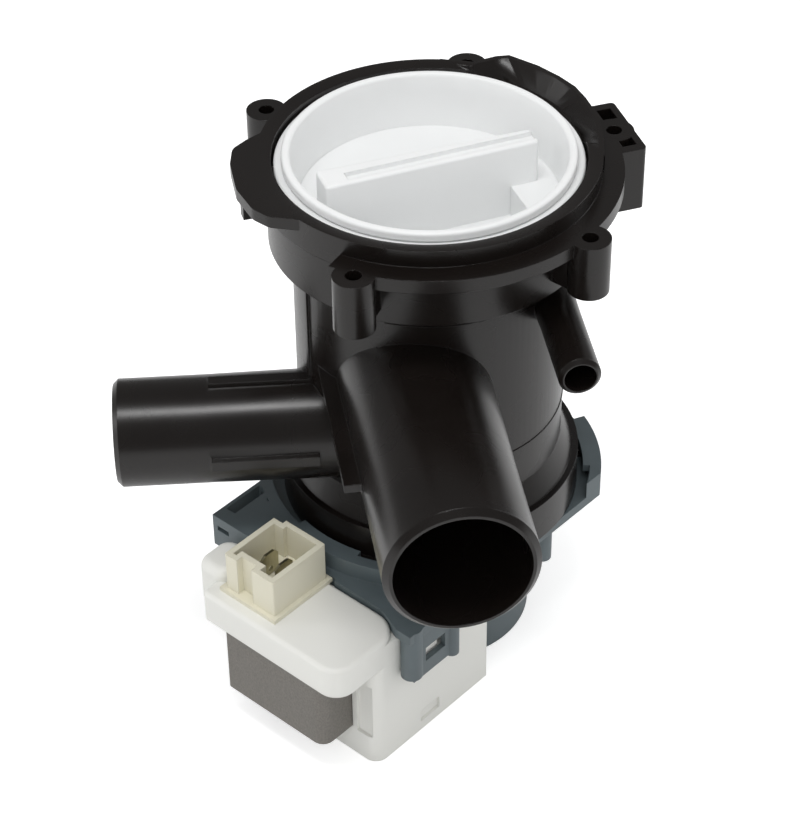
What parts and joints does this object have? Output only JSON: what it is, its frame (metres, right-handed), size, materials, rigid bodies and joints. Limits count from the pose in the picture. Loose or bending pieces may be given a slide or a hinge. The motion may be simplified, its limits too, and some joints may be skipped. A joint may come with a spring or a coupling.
{
  "type": "washer drain pump",
  "caption": "Washer drain pump: black filter housing with inlet, outlet and bypass stubs, a white screw cap with grip bar, and a motor with grey bracket and white cover.",
  "frame": {"origin": "on the pump axis, in the plane that the motor end stands on", "axes": "+Z along the pump axis towards the filter cap, -Y the way the large inlet points"},
  "size_m": [0.1484, 0.1567, 0.159],
  "materials": {
    "black_plastic": "glossy black glass filled moulding",
    "white_cap_plastic": "white moulding",
    "strainer_plastic": "pale moulding",
    "grey_plastic": "blue grey moulding",
    "cover_plastic": "white moulding",
    "socket_plastic": "cream moulding",
    "bobbin_plastic": "cream moulding",
    "lamination_steel": "stacked sheet edges",
    "shaft_steel": "ground steel",
    "tinned_brass": "tinned strip",
    "copper_wire": "enamelled wire",
    "ferrite": "sintered ring",
    "rotor_plastic": "dark moulding",
    "impeller_plastic": "black moulding",
    "seal_rubber": "black rubber",
    "bush_material": "carbon bush",
    "cutout_plastic": "small protector"
  },
  "bodies": {
    "housing": {"pump_housing": "black_plastic", "housing_flange": "black_plastic", "volute_casing": "black_plastic", "volute_roof": "black_plastic", "bypass_spigot": "black_plastic"},
    "strainer": {"lint_strainer": "strainer_plastic"},
    "cap": {"filter_cap": "white_cap_plastic", "cap_seal": "seal_rubber"},
    "motor": {"motor_bracket": "grey_plastic", "housing_seal": "seal_rubber", "stator_cup": "grey_plastic", "stator_core": "lamination_steel", "coil_bobbin": "bobbin_plastic", "coil_winding": "copper_wire", "coil_leads": "copper_wire", "motor_cover": "cover_plastic", "terminal_housing": "socket_plastic", "spade_terminals": "tinned_brass", "thermal_cutout": "cutout_plastic", "rear_bearing": "bush_material", "rear_bearing_grommet": "seal_rubber", "rear_thrust_washer": "shaft_steel", "front_bearing": "bush_material", "front_thrust_washer": "shaft_steel", "front_bearing_holder": "rotor_plastic"},
    "rotor": {"rotor_shaft": "shaft_steel", "rotor_core": "rotor_plastic", "rotor_magnet": "ferrite", "drive_dog": "rotor_plastic", "impeller_clip": "shaft_steel"},
    "impeller": {"impeller": "impeller_plastic"}
  },
  "joints": [
    {"name": "filter_rise", "type": "slide", "parent": "housing", "child": "strainer", "axis": [0, 0, 1], "range_m": [0, 0.005]},
    {"name": "cap_turn", "type": "hinge", "parent": "strainer", "child": "cap", "pos_m": [0, 0, 0.15], "axis": [0, 0, 1], "range_deg": [0, 60]},
    {"name": "motor_twist", "type": "hinge", "parent": "housing", "child": "motor", "pos_m": [0, 0, 0.05], "axis": [0, 0, 1], "range_deg": [-20, 0]},
    {"name": "rotor_spin", "type": "hinge", "parent": "motor", "child": "rotor", "pos_m": [0, 0, 0.025], "axis": [0, 0, 1], "continuous": true},
    {"name": "impeller_slip", "type": "hinge", "parent": "rotor", "child": "impeller", "pos_m": [0, 0, 0.065], "axis": [0, 0, 1], "range_deg": [0, 265]}
  ],
  "couplings": [
    {"joint": "filter_rise", "follows": "cap_turn", "m_per_rad": 0.0047746}
  ]
}
